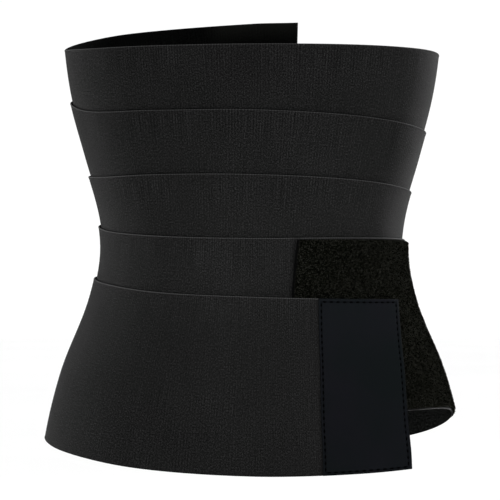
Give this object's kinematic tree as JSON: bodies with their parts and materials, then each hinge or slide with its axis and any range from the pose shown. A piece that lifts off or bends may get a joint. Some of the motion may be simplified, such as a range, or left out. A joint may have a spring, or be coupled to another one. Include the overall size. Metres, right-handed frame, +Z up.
{
  "type": "elastic waist wrap",
  "caption": "Long elastic strip wound down round a waist in overlapping turns and closed at the front right by a hook-and-loop tab, open at the top and bottom.",
  "frame": {"origin": "middle of the waist opening, at the narrowest section", "axes": "+Z up along the body, front towards -Y, +X to the right as seen from the front"},
  "size_m": [0.2911, 0.2355, 0.3204],
  "materials": {
    "elastic": "black woven elastic with fine upright ribs and lighter selvedges, matt",
    "loop_pile": "black fuzzy loop pile with an olive tint",
    "patch": "smooth bluish black coated cloth, stitched round, satin",
    "hooks": "black hook tape, matt"
  },
  "bodies": {
    "root": {"elastic_band": "elastic", "loop_panel": "loop_pile", "end_patch": "patch", "hook_pad": "hooks"}
  },
  "joints": []
}
